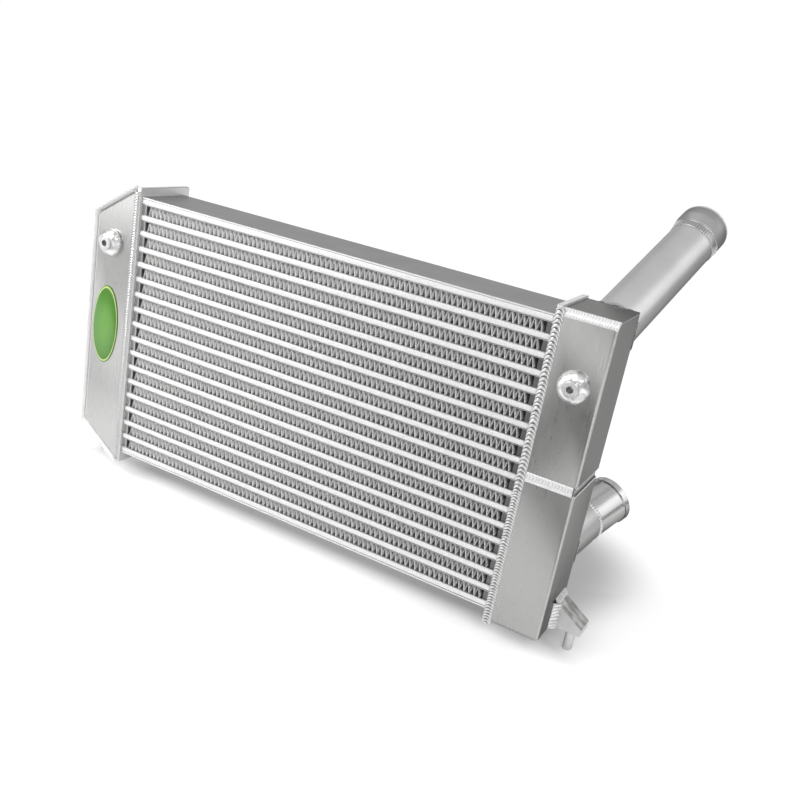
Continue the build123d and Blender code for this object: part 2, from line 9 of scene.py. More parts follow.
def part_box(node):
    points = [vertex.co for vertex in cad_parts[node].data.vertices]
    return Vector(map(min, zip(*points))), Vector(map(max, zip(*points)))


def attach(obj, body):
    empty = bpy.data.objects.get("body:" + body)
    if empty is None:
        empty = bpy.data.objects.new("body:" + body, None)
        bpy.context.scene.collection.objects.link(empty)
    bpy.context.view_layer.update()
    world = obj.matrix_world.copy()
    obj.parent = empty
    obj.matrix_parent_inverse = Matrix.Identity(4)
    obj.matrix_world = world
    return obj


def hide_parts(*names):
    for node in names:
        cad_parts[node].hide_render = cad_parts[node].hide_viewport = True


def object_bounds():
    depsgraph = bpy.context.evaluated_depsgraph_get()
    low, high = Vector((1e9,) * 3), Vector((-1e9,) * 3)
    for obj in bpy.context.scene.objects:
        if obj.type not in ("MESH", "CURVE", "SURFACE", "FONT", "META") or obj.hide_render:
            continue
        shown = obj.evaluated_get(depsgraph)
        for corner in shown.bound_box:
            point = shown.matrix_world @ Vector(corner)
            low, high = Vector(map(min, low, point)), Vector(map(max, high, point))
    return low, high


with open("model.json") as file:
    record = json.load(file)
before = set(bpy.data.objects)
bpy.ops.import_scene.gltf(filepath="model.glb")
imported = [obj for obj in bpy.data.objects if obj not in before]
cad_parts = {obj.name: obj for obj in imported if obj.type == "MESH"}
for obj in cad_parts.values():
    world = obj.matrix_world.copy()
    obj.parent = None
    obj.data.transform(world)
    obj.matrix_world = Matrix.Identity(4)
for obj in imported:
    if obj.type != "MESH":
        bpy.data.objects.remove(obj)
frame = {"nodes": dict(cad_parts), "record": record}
cadBox = [[float(v) for v in corner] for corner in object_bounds()]
mm = 0.001
print("frame loaded with", len(frame["nodes"]), "nodes")


class Wire:  # an output socket that takes part in Python arithmetic
    def __init__(self, graph, socket):
        self.graph = graph
        self.socket = socket

    def maths(self, operation, *others):
        values = dict(enumerate([self, *others]))
        return self.graph.node("ShaderNodeMath", {"operation": operation}, values)

    def __add__(self, other):
        return self.maths("ADD", other)

    def __sub__(self, other):
        return self.maths("SUBTRACT", other)

    def __rsub__(self, other):
        return self.graph.node("ShaderNodeMath", {"operation": "SUBTRACT"}, {0: other, 1: self})

    def __mul__(self, other):
        return self.maths("MULTIPLY", other)

    def __truediv__(self, other):
        return self.maths("DIVIDE", other)

    def __gt__(self, other):
        return self.maths("GREATER_THAN", other)

    def __lt__(self, other):
        return self.maths("LESS_THAN", other)

    def __abs__(self):
        return self.maths("ABSOLUTE")

    __radd__ = __add__
    __rmul__ = __mul__


class Graph:  # a node tree that is built up by calls
    def __init__(self, tree):
        self.tree = tree

    def node(self, kind, settings=None, values=None, out=0):
        made = self.tree.nodes.new(kind)
        for name, value in (settings or {}).items():
            if name == "stops":
                while len(made.color_ramp.elements) < len(value):
                    made.color_ramp.elements.new(0.5)
                for element, (place, shade) in zip(made.color_ramp.elements, value):
                    element.position = place
                    element.color = (shade, shade, shade, 1)
            else:
                setattr(made, name, value)
        for name, value in (values or {}).items():
            self.feed(made.inputs[name], value)
        return Wire(self, made.outputs[out])

    def smooth(self, value, start, end):  # from 0 at start to 1 at end
        return self.node("ShaderNodeMapRange", {"interpolation_type": "SMOOTHSTEP"},
                         {"Value": value, "From Min": start, "From Max": end})

    def feed(self, socket, value):
        if isinstance(value, Wire):
            self.tree.links.new(value.socket, socket)
        elif socket.type == "RGBA":
            socket.default_value = (*value, 1)
        else:
            socket.default_value = value


class Finish(Graph):  # a material with one Principled shader
    def __init__(self, name, **plain):
        self.material = bpy.data.materials.new(name)
        self.material.use_nodes = True
        super().__init__(self.material.node_tree)
        self.shader = self.tree.nodes["Principled BSDF"]
        self.place = self.node("ShaderNodeTexCoord", out="Object")
        self.set(**plain)

    def set(self, **values):
        for name, value in values.items():
            self.feed(self.shader.inputs[name.replace("_", " ")], value)

    def along(self, axis):
        return self.node("ShaderNodeSeparateXYZ", {}, {0: self.place}, out=axis)

    def distance(self, point):
        return self.node("ShaderNodeVectorMath", {"operation": "DISTANCE"}, {0: self.place, 1: point},
                         out="Value")

    def noise(self, scale, detail=2.0, stretch=(1, 1, 1), rough=0.5):
        place = self.node("ShaderNodeMapping", {}, {"Vector": self.place, "Scale": stretch})
        return self.node("ShaderNodeTexNoise", {}, {"Vector": place, "Scale": scale, "Detail": detail,
                                                    "Roughness": rough})

    def ramp(self, factor, *stops):
        return self.node("ShaderNodeValToRGB", {"stops": stops}, {"Fac": factor})

    def mix(self, factor, first, second):
        return self.node("ShaderNodeMix", {"data_type": "RGBA"}, {0: factor, 6: first, 7: second}, out=2)

    def bump(self, height, distance, strength=1.0, normal=None):
        values = {"Height": height, "Distance": distance, "Strength": strength}
        if normal is not None:
            values["Normal"] = normal
        return self.node("ShaderNodeBump", {}, values)


# Directions and the lines of the pipes
ahead = Vector((0, -1, 0))
rightward = Vector((1, 0, 0))
upward = Vector((0, 0, 1))


def corners(node):
    low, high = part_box(node)
    return Vector(low), Vector(high)


def mountLine(name):
    found = [m for m in frame["record"]["mounts"] if m["name"] == name][0]
    return Vector(found["pos_m"]), Vector(found["axis"]).normalized()


lowerMouth, outletAxis = mountLine("lower_pipe_mouth")
upperMouth, upperAxis = mountLine("upper_pipe_mouth")
pipeSizes = {"lift": 2.2 * mm, "flare": 10 * mm, "end": 14 * mm, "radius": 25 * mm, "endRadius": 27 * mm,
             "outlet": 48.5 * mm, "lip": 7 * mm, "rootLean": 9.15, "rootRise": 9.25}
sideways = upperAxis.cross(upward).normalized()
upwards = sideways.cross(upperAxis)
mitre = lowerMouth - outletAxis * (pipeSizes["outlet"] - pipeSizes["lip"] / 2)
rootLean, rootRise = radians(pipeSizes["rootLean"]), radians(pipeSizes["rootRise"])
lowerAxis = Vector((tan(rootLean), 1, tan(rootRise))).normalized()


# Materials: grey levels and sizes of each one stand in its dictionary
def rolledSheet(name, tint, endReflectionShare=0.0):
    look = {"shade": (0.37, 0.37, 0.365), "pale": (0.42, 0.42, 0.415), "ends": (0.62, 0.62, 0.61),
            "scuffed": (0.7, 0.7, 0.69), "scuffs": 0.15,
            "roughness": 0.2, "grain": 0.12, "clouds": 0.06,
            "wave": 0.25 * mm, "waves": 0.6, "scratch": 0.02 * mm, "scratches": 0.4}
    finish = Finish(name, Metallic=1.0, Specular_Tint=(tint,) * 3)
    clouds = finish.noise(scale=14, detail=3)
    grain = finish.noise(scale=900, stretch=(1, 1, 0.06))
    spots = finish.noise(scale=160, detail=5, stretch=(1, 1, 0.5), rough=0.7)
    scuffs = finish.ramp(spots, (0.66, 0), (0.72, 1))
    share = finish.along("Z") / corners("left_tank_front")[1].z
    # painted reflection: the left tank's front is paler towards its top and bottom
    ends = finish.ramp(share, (0.14, 0.5), (0.3, 0), (0.78, 0), (0.94, 1))
    colour = finish.mix(clouds, look["shade"], look["pale"])
    colour = finish.mix(ends * endReflectionShare, colour, look["ends"])
    colour = finish.mix(scuffs * look["scuffs"], colour, look["scuffed"])
    waves = finish.bump(finish.noise(scale=9, detail=1), look["wave"], look["waves"])
    finish.set(Base_Color=colour,
               Roughness=look["roughness"] + grain * look["grain"] + clouds * look["clouds"],
               Normal=finish.bump(grain, look["scratch"], look["scratches"], waves))
    return finish.material


def brazedBar():
    look = {"shade": (0.67, 0.675, 0.67), "pale": (0.79, 0.795, 0.79), "crystals": (0.86, 0.865, 0.86),
            "roughness": 0.42, "patches": 0.15, "sand": 0.2 * mm, "sanding": 0.6}
    finish = Finish("brazedBar", Metallic=0.35)
    sand = finish.noise(scale=1100, detail=3)
    patches = finish.noise(scale=60, detail=3, stretch=(0.3, 1, 1))
    colour = finish.mix(patches, look["shade"], look["pale"])
    finish.set(Base_Color=finish.mix(finish.ramp(sand, (0.35, 0), (0.65, 1)), colour, look["crystals"]),
               Roughness=look["roughness"] + patches * look["patches"],
               Normal=finish.bump(sand, look["sand"], look["sanding"]))
    return finish.material


def corePlate(name, shade, pale):
    look = {"tint": (0.5, 0.5, 0.5), "roughness": 0.3, "streaks": 0.2, "grain": 0.05 * mm, "grains": 0.4}
    finish = Finish(name, Metallic=1.0, Specular_Tint=look["tint"])
    patches = finish.noise(scale=35, detail=4)
    streaks = finish.noise(scale=220, detail=3, stretch=(0.1, 1, 1))
    finish.set(Base_Color=finish.mix(patches, (shade,) * 3, (pale,) * 3),
               Roughness=look["roughness"] + streaks * look["streaks"],
               Normal=finish.bump(finish.noise(scale=700, detail=3), look["grain"], look["grains"]))
    return finish.material


def finStrip():  # every other flank of the corrugation is painted darker: painted shade on the flanks that face away from the light
    look = {"pitch": 5.7 * mm, "crest": 0.9 * mm, "dark": (0.8, 0.8, 0.795), "shade": (0.88, 0.88, 0.88),
            "pale": (0.98, 0.98, 0.97), "roughness": 0.35, "patches": 0.15}
    finish = Finish("finStrip", Metallic=0.05)
    patches = finish.noise(scale=300, detail=3, stretch=(1, 0.2, 1))
    low, high = corners("air_fin_01")
    span = high.x - low.x - look["crest"]
    waves = (finish.along("X") - low.x - look["crest"] / 2) * (round(span / look["pitch"]) / span)
    # painted shade: the flanks facing away from the light get the dark colour
    shadedFlank = waves.maths("FRACT") < 0.5
    bright = finish.mix(patches, look["shade"], look["pale"])
    finish.set(Base_Color=finish.mix(shadedFlank, bright, look["dark"]),
               Roughness=look["roughness"] + patches * look["patches"])
    return finish.material


def headerStock(name, shade, pale):
    look = {"roughness": 0.35, "patches": 0.2, "dent": 0.4 * mm, "dents": 0.5}
    finish = Finish(name, Metallic=0.6)
    patches = finish.noise(scale=90, detail=4)
    finish.set(Base_Color=finish.mix(patches, (shade,) * 3, (pale,) * 3),
               Roughness=look["roughness"] + patches * look["patches"],
               Normal=finish.bump(patches, look["dent"], look["dents"]))
    return finish.material


def weldMetal(name, shade, pale, paintedShade, metallic=0.85):  # the grooves between the ripples are painted darker: painted shade
    look = {"roughness": 0.24, "patches": 0.2, "grain": 0.06 * mm, "grains": 0.4}
    finish = Finish(name, Metallic=metallic)
    patches = finish.noise(scale=260, detail=3)
    crest = finish.node("ShaderNodeAttribute", {"attribute_name": "crest"}, out="Fac")
    colour = finish.mix(patches, (shade,) * 3, (pale,) * 3)
    # painted shade: the grooves between the ripples get the dark colour
    finish.set(Base_Color=finish.mix(finish.ramp(crest, (0.25, 0), (0.85, 1)), (paintedShade,) * 3, colour),
               Roughness=patches * look["patches"] + look["roughness"],
               Normal=finish.bump(finish.noise(scale=900), look["grain"], look["grains"]))
    return finish.material


def turnedStock():
    look = {"shade": (0.55, 0.55, 0.55), "pale": (0.74, 0.74, 0.73), "tint": (0.5, 0.5, 0.5),
            "roughness": 0.34, "patches": 0.15, "groove": 0.08 * mm, "grooves": 0.4}
    finish = Finish("turnedStock", Metallic=1.0, Specular_Tint=look["tint"])
    grooves = finish.noise(scale=500, detail=3, stretch=(0.3, 0.3, 1))
    finish.set(Base_Color=finish.mix(grooves, look["shade"], look["pale"]),
               Roughness=grooves * look["patches"] + look["roughness"],
               Normal=finish.bump(grooves, look["groove"], look["grooves"]))
    return finish.material


# pale metal for rounded edges and folds: painted highlight
def edgeHighlight():
    look = {"shade": (0.42, 0.42, 0.42), "pale": (0.6, 0.6, 0.59), "roughness": 0.3, "patches": 0.2}
    finish = Finish("edgeHighlight", Metallic=0.6)
    patches = finish.noise(scale=150, detail=3)
    finish.set(Base_Color=finish.mix(patches, look["shade"], look["pale"]),
               Roughness=patches * look["patches"] + look["roughness"])
    return finish.material


def pipeMetal(name, shade, pale, roughness, place, axis, rim=False):  # painted shade on its right and lower side; with rim, a pale band at the mouth's rim, a painted highlight
    look = {"tint": (0.35, 0.35, 0.35), "paintedShade": (0.2, 0.2, 0.19), "paintedShadeShare": 0.85, "droop": 0.6,
            "rim": (0.85, 0.85, 0.84), "rimHighlightWidth": 3 * mm, "grain": 0.12, "dent": 0.35 * mm, "dents": 0.5}
    finish = Finish(name, Metallic=1.0, Specular_Tint=look["tint"])
    clouds = finish.noise(scale=22, detail=3)
    grain = finish.noise(scale=700, detail=3)
    across = axis.cross(upward).normalized()
    shadedSide = (across - across.cross(axis) * look["droop"]).normalized()
    offset = finish.node("ShaderNodeVectorMath", {"operation": "SUBTRACT"}, {0: finish.place, 1: place})

    def reach(direction):
        return finish.node("ShaderNodeVectorMath", {"operation": "DOT_PRODUCT"},
                           {0: offset, 1: direction}, out="Value")

    # painted shade: darker towards the right and lower side of the pipe
    paintedShade = finish.ramp(reach(shadedSide / pipeSizes["radius"]), (0.55, 0), (1, 1))
    clean = finish.mix(clouds, (shade,) * 3, (pale,) * 3)
    colour = finish.mix(paintedShade * look["paintedShadeShare"], clean, look["paintedShade"])
    # painted highlight: a pale band at the rim of the mouth
    if rim:
        colour = finish.mix(reach(axis) > pipeSizes["end"] / 2 - look["rimHighlightWidth"], colour, look["rim"])
    finish.set(Base_Color=colour, Roughness=grain * look["grain"] + roughness,
               Normal=finish.bump(clouds, look["dent"], look["dents"]))
    return finish.material


def drawnSheet():
    look = {"shade": (0.36, 0.36, 0.355), "pale": (0.7, 0.7, 0.69), "roughness": 0.3, "streaks": 0.2,
            "crease": 1.2 * mm, "creases": 0.6}
    finish = Finish("drawnSheet", Metallic=0.6)
    streaks = finish.noise(scale=75, detail=3, stretch=(0.35, 1.6, 1.2), rough=0.6)
    bands = finish.ramp(streaks, (0.42, 0), (0.6, 1))
    finish.set(Base_Color=finish.mix(bands, look["shade"], look["pale"]),
               Roughness=look["roughness"] + streaks * look["streaks"],
               Normal=finish.bump(streaks, look["crease"], look["creases"]))
    return finish.material


def badgeEnamel():
    look = {"green": (0.085, 0.28, 0.01), "deep": (0.035, 0.15, 0.005), "rim": (0.5, 0.62, 0.2),
            "rimFrom": 0.93, "rimTo": 0.975, "flecks": 0.5, "ripple": 0.04 * mm, "ripples": 0.3}
    finish = Finish("badgeEnamel", Roughness=0.22, Coat_Weight=0.3, Coat_Roughness=0.08)
    ring = finish.node("ShaderNodeAttribute", {"attribute_name": "ring"}, out="Fac")
    rim = (ring > look["rimFrom"]) * (ring < look["rimTo"])
    colour = finish.mix(finish.ramp(ring, (0.3, 0), (0.95, 1)), look["green"], look["deep"])
    colour = finish.mix(finish.noise(scale=900) * look["flecks"], colour, look["green"])
    finish.set(Base_Color=finish.mix(rim, colour, look["rim"]),
               Normal=finish.bump(finish.noise(scale=500), look["ripple"], look["ripples"]))
    return finish.material


# three copies of the rolled sheet: the tanks' copy reflects less than the lid's and the left tank's,
# painted shade that makes the tank faces, the end faces most, read darker; the left tank's copy also
# carries the painted reflection at its top and bottom
sheet = rolledSheet("rolledSheet", 0.34)
lidSheet = rolledSheet("lidSheet", 0.45)
leftSheet = rolledSheet("leftSheet", 0.42, endReflectionShare=1.0)
bar = brazedBar()
plate = corePlate("corePlate", 0.46, 0.58)
# painted shade: a dark copy of the core plate for the right closing bars, standing in for the shade in the
# gaps beside the weld column
shadedPlate = corePlate("shadedPlate", 0.1, 0.2)
fin = finStrip()
weld = weldMetal("columnWeld", 0.6, 0.86, 0.11)
freshWeld = weldMetal("freshWeld", 0.7, 0.92, 0.45)
sleeveWeldMetal = weldMetal("sleeveWeldMetal", 0.44, 0.6, 0.3)
bossWeldMetal = weldMetal("bossWeldMetal", 0.72, 0.9, 0.6)
edgeWeldMetal = weldMetal("edgeWeldMetal", 0.74, 0.9, 0.6, metallic=0.3)
edgeHighlightMetal = edgeHighlight()
tube = pipeMetal("pipeMetal", 0.66, 0.8, 0.4, upperMouth - upwards * pipeSizes["lift"], upperAxis)
sleeve = pipeMetal("sleeveMetal", 0.35, 0.46, 0.46, upperMouth, upperAxis, rim=True)
root = pipeMetal("rootMetal", 0.55, 0.72, 0.35, mitre, lowerAxis)
outlet = pipeMetal("outletMetal", 0.56, 0.73, 0.2, mitre, outletAxis)
enamel = badgeEnamel()
header = headerStock("headerStock", 0.66, 0.88)
bracket = headerStock("bracketStock", 0.47, 0.69)
turned = turnedStock()
drawn = drawnSheet()
print("materials made")


def settle(piece, slot, *nodes):
    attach(piece, "root")
    if nodes:
        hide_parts(*nodes)


def repaint(material, *names):
    for name in names:
        for part in frame["nodes"][name].material_slots:
            part.material = material


def newPiece(name, mesh, material):
    piece = bpy.data.objects.new(name, mesh)
    bpy.context.collection.objects.link(piece)
    mesh.materials.clear()
    mesh.materials.append(material)
    return piece


copySizes = {"merge": 0.002 * mm, "flat": 0.5, "smooth": 32, "bevelFrom": 40, "segments": 2,
             "fold": 0.4, "plateFront": 0.5, "bracketSlope": 0.3}


def finishedCopy(node, material, slot, edge=0.35 * mm, foldShine=False, brightEdges=True):
    # a cleaned, smooth-shaded copy with rounded edges; slot 1 of its materials is a pale metal, a painted
    # highlight that the rounded edges get when brightEdges is set
    mesh = frame["nodes"][node].data.copy()
    work = bmesh.new()
    work.from_mesh(mesh)
    bmesh.ops.remove_doubles(work, verts=work.verts, dist=copySizes["merge"])
    bmesh.ops.dissolve_limit(work, angle_limit=radians(copySizes["flat"]), verts=work.verts,
                             edges=work.edges)
    work.to_mesh(mesh)
    work.free()
    mesh.shade_smooth()
    mesh.set_sharp_from_angle(angle=radians(copySizes["smooth"]))
    piece = newPiece(node + "Finished", mesh, material)
    mesh.materials.append(edgeHighlightMetal)
    # painted highlight: the faces of the rounded front fold get the pale edge metal
    if foldShine:
        for face in mesh.polygons:
            folded = face.normal.x > copySizes["fold"] and face.normal.y < -copySizes["fold"]
            face.material_index = int(folded)
    if edge:
        bevel = piece.modifiers.new("highlighted edges", "BEVEL")
        bevel.width = edge
        bevel.segments = copySizes["segments"]
        bevel.limit_method = "ANGLE"
        bevel.angle_limit = radians(copySizes["bevelFrom"])
        bevel.harden_normals = True
        bevel.material = int(brightEdges)
    settle(piece, slot, node)
    return piece


# Core: fins, sheets and closing bars keep their CAD meshes, long bars and side plates get copies
repaint(fin, *[name for name in frame["nodes"] if name.startswith("air_fin")], "charge_fins")
repaint(plate, "parting_sheets", "divider_plate")
# painted shade on the right closing bars
repaint(shadedPlate, "right_closing_bars")
repaint(sheet, "left_closing_bars")
for name in ("front_bars", "back_bars"):
    finishedCopy(name, bar, "core", edge=0)
for name in ("core_top_plate", "core_bottom_plate"):
    piece = finishedCopy(name, plate, "core", edge=0.6 * mm)
    piece.data.materials.append(bar)
    for face in piece.data.polygons:
        face.material_index = 2 if face.normal.y < -copySizes["plateFront"] else 0
print("core finished")

# Tanks, headers, brackets, bosses, pegs and pipes
finishedCopy("left_header_plate", header, "sheet", edge=0.8 * mm)
finishedCopy("right_header_plate", header, "sheet", edge=0.6 * mm)
for name in ("left_bracket", "right_bracket"):
    piece = finishedCopy(name, bracket, "sheet", edge=0.6 * mm)
    piece.data.materials.append(drawn)
    for face in piece.data.polygons:
        face.material_index = 2 if min(face.normal.x, face.normal.z) > copySizes["bracketSlope"] else 0
finishedCopy("left_tank_front", leftSheet, "sheet", edge=0.1 * mm)
for name in ("left_tank_back", "left_tank_wrap"):
    finishedCopy(name, sheet, "sheet")
finishedCopy("upper_tank_lid", lidSheet, "sheet", edge=0.25 * mm, brightEdges=False)
for name in ("upper_tank", "lower_tank"):
    finishedCopy(name, sheet, "sheet", edge=0.25 * mm, foldShine=True, brightEdges=False)
for name in ("left_boss", "right_boss", "left_peg", "right_peg"):
    finishedCopy(name, turned, "sheet", edge=0.2 * mm)
for name, metal in (("upper_pipe", tube), ("lower_pipe_root", root), ("lower_pipe_outlet", outlet),
                    ("upper_pipe_end", sleeve)):
    finishedCopy(name, metal, "sheet", edge=0)
print("tanks and pipes finished")


# Weld beads: each is swept along its seam, then rippled
def rippleTree(look):
    tree = bpy.data.node_groups.new("weldRipples", "GeometryNodeTree")
    graph = Graph(tree)
    for name, kind in (("Bead", "NodeSocketGeometry"), ("Pitch", "NodeSocketFloat"),
                       ("Depth", "NodeSocketFloat"), ("Sweep", "NodeSocketFloat"),
                       ("Lumps", "NodeSocketFloat"), ("Seed", "NodeSocketFloat"),
                       ("Metal", "NodeSocketMaterial")):
        tree.interface.new_socket(name, in_out="INPUT", socket_type=kind)
    tree.interface.new_socket("Bead", in_out="OUTPUT", socket_type="NodeSocketGeometry")
    given = tree.nodes.new("NodeGroupInput").outputs
    value = {name: Wire(graph, given[name]) for name in given.keys() if name}

    def attribute(name):
        return graph.node("GeometryNodeInputNamedAttribute", {"data_type": "FLOAT"}, {"Name": name})

    along, across, crown = attribute("along"), attribute("across"), attribute("crown")
    place = graph.node("GeometryNodeInputPosition")
    wander = graph.node("ShaderNodeTexNoise", {"noise_dimensions": "4D"},
                        {"Vector": place, "W": value["Seed"], "Scale": look["wanderScale"], "Detail": 1.0})
    phase = (along + across * across * value["Sweep"]) / value["Pitch"] + wander * look["wander"]
    scallop = abs((phase * pi).maths("SINE"))
    lumps = graph.node("ShaderNodeTexNoise", {"noise_dimensions": "4D"},
                       {"Vector": place, "W": value["Seed"], "Scale": look["lumpScale"], "Detail": 1.0})
    height = crown * (value["Depth"] * (scallop - 1.0) + value["Lumps"] * (lumps - 0.5))
    normal = graph.node("GeometryNodeInputNormal")
    offset = graph.node("ShaderNodeVectorMath", {"operation": "SCALE"}, {0: normal, "Scale": height})
    moved = graph.node("GeometryNodeSetPosition", {}, {"Geometry": value["Bead"], "Offset": offset})
    kept = graph.node("GeometryNodeStoreNamedAttribute", {"data_type": "FLOAT", "domain": "POINT"},
                      {"Geometry": moved, "Name": "crest", "Value": 1 - crown * (1 - scallop)})
    joined = graph.node("GeometryNodeRealizeInstances", {}, {"Geometry": kept})
    painted = graph.node("GeometryNodeSetMaterial", {}, {"Geometry": joined, "Material": value["Metal"]})
    output = tree.nodes.new("NodeGroupOutput")
    tree.links.new(painted.socket, output.inputs["Bead"])
    return tree


ripples = rippleTree({"wander": 0.9, "wanderScale": 130.0, "lumpScale": 210.0})


def sweptBead(stations, width, rise, closed=False, arcSteps=10, rippling=1.0, tempo=1.0):
    # stations: place, side and up at each step of the seam; rippling scales the ripples' depth and
    # tempo their number
    work = bmesh.new()
    along = work.verts.layers.float.new("along")
    across = work.verts.layers.float.new("across")
    crown = work.verts.layers.float.new("crown")
    distance = 0
    rings = []
    for index, (place, side, up) in enumerate(stations):
        if index:
            distance += (place - stations[index - 1][0]).length * tempo
        ring = []
        for step in range(arcSteps + 1):
            angle = pi * step / arcSteps
            vertex = work.verts.new(place - side * cos(angle) * width / 2 + up * sin(angle) * rise)
            vertex[along] = distance
            vertex[across] = -cos(angle)
            vertex[crown] = rippling * sin(angle) ** 0.5 if 0 < step < arcSteps else 0
            ring.append(vertex)
        rings.append(ring)
    following = rings[1:] + rings[:1] if closed else rings[1:]
    for first, second in zip(rings, following):
        for step in range(arcSteps + 1):
            after = (step + 1) % (arcSteps + 1)
            work.faces.new((first[step], first[after], second[after], second[step]))
    if not closed:
        work.faces.new(rings[0][::-1])
        work.faces.new(rings[-1])
    bmesh.ops.recalc_face_normals(work, faces=work.faces)
    mesh = bpy.data.meshes.new("bead")
    work.to_mesh(mesh)
    work.free()
    mesh.shade_smooth()
    mesh.set_sharp_from_angle(angle=radians(70))
    return mesh


def rippled(name, meshes, look, metal, *nodes):
    work = bmesh.new()
    for mesh in meshes:
        work.from_mesh(mesh)
    joined = bpy.data.meshes.new(name)
    work.to_mesh(joined)
    work.free()
    piece = newPiece(name, joined, metal)
    modifier = piece.modifiers.new("ripples", "NODES")
    modifier.node_group = ripples
    chosen = {"Pitch": look["pitch"], "Depth": look["depth"], "Sweep": look["sweep"],
              "Lumps": look["lumps"], "Seed": look["seed"], "Metal": metal}
    for socket in ripples.interface.items_tree:
        if socket.in_out == "INPUT" and socket.name in chosen:
            modifier[socket.identifier] = chosen[socket.name]
    bpy.context.view_layer.update()
    made = bpy.data.meshes.new_from_object(piece.evaluated_get(bpy.context.evaluated_depsgraph_get()))
    piece.modifiers.clear()
    piece.data = made
    settle(piece, "weld", *nodes)


def straightRun(start, end, side, up, step=0.55 * mm):
    count = max(2, int((end - start).length / step))
    return [(start.lerp(end, index / count), side, up) for index in range(count + 1)]


columnLook = {"pitch": 4.4 * mm, "depth": 0.9 * mm, "sweep": 4.0 * mm, "lumps": 0.15 * mm}


def frontColumn(node, name, seed, tempos):
    low, high = corners(node)
    middle = (low.x + high.x) / 2
    meshes = []
    for bottom, top, tempo in tempos:
        foot = Vector((middle, high.y, low.z))
        rise = upward * (high.z - low.z)
        run = straightRun(foot + rise * bottom, foot + rise * top, rightward, ahead)
        meshes.append(sweptBead(run, high.x - low.x, high.y - low.y, tempo=tempo))
    rippled(name, meshes, {**columnLook, "seed": seed}, weld, node)


frontColumn("left_front_bead", "leftColumnWeld", 3.0, [(0, 1, 1.5)])
frontColumn("right_front_bead", "rightColumnWeld", 8.0, [(0, 0.45, 1.4), (0.45, 1, 1.05)])


def backColumn(node, name, tankSide, seed):
    size = {"rise": 0.9 * mm, "overlap": 2 * mm}
    low, high = corners(node)
    inner = high.x if tankSide < 0 else low.x
    outer = low.x if tankSide < 0 else high.x
    middle = Vector(((inner + outer) / 2, (low.y + high.y) / 2, 0))
    out = Vector((tankSide, 1, 0)).normalized()
    side = Vector((1, -tankSide, 0)).normalized()
    width = (high.x - low.x) * 2 ** 0.5
    spans = [(low.z, high.z)]
    if node == "right_back_bead":
        rootLow, rootHigh = corners("lower_pipe_bead")
        upperLow = corners("upper_pipe_bead")[0]
        spans = [(low.z, rootLow.z + size["overlap"]),
                 (rootHigh.z - size["overlap"], upperLow.z + size["overlap"])]
    meshes = []
    for bottom, top in spans:
        run = straightRun(middle + upward * bottom, middle + upward * top, side, out)
        meshes.append(sweptBead(run, width, size["rise"]))
    rippled(name, meshes, {**columnLook, "depth": 0.5 * mm, "seed": seed}, weld, node)


backColumn("left_back_bead", "leftBackWeld", -1, 5.0)
backColumn("right_back_bead", "rightBackWeld", 1, 6.0)


def topEdgeWeld():
    low, high = corners("upper_tank_bead")
    leg = high.z - low.z
    size = {"rise": leg * 0.36, "toe": 0.4 * mm, "toeWidth": 1.6 * mm, "toeRippling": 0.2}
    look = {"pitch": 2.7 * mm, "depth": 0.22 * mm, "sweep": 1.5 * mm, "lumps": 0.45 * mm, "seed": 4.0}
    middleY, middleZ = low.y + leg / 2, high.z - leg / 2
    side = Vector((0, 1, 1)).normalized()
    up = Vector((0, -1, 1)).normalized()
    run = straightRun(Vector((low.x, middleY, middleZ)), Vector((high.x, middleY, middleZ)), side, up)
    toeY = low.y + size["toe"]
    toe = straightRun(Vector((low.x, toeY, low.z)), Vector((high.x, toeY, low.z)), upward, ahead)
    meshes = [sweptBead(run, leg * 2 ** 0.5, size["rise"]),
              sweptBead(toe, size["toeWidth"], size["toe"], rippling=size["toeRippling"])]
    rippled("topEdgeWeld", meshes, look, edgeWeldMetal, "upper_tank_bead")


topEdgeWeld()


def seamWeld():
    low, high = corners("seam_bead")
    tankLow, tankHigh = corners("lower_tank")
    size = {"main": (0.64, 0.72, 1.0), "lower": (0.16, 0.32, 0.0), "groove": 1.8 * mm,
            "grooveRise": 0.4 * mm, "grooveRippling": 0.2}
    look = {"pitch": 3.2 * mm, "depth": 0.35 * mm, "sweep": 2.2 * mm, "lumps": 0.3 * mm, "seed": 9.0}
    tall, proud = high.z - low.z, tankLow.y - low.y
    meshes = []
    for middle, width, rippling in (size["main"], size["lower"]):
        start = Vector((low.x, tankLow.y, low.z + middle * tall))
        run = straightRun(start, Vector((high.x, start.y, start.z)), upward, ahead)
        meshes.append(sweptBead(run, width * tall, proud * (0.5 + 0.5 * rippling), rippling=rippling))
    # painted highlight: two thin pale beads along the edges of the groove on the end face stand in for its
    # bright edge lines
    end = Vector((tankHigh.x - size["grooveRise"], tankLow.y, 0))
    for height in (low.z, high.z):
        start = end + upward * height
        groove = straightRun(start, start + Vector((0, tankHigh.y - tankLow.y, 0)), upward, rightward)
        meshes.append(sweptBead(groove, size["groove"], size["grooveRise"],
                                rippling=size["grooveRippling"]))
    rippled("seamWeld", meshes, look, edgeWeldMetal, "seam_bead")


seamWeld()


leftTank = {"slant": 37.3 * mm, "width": 56 * mm}


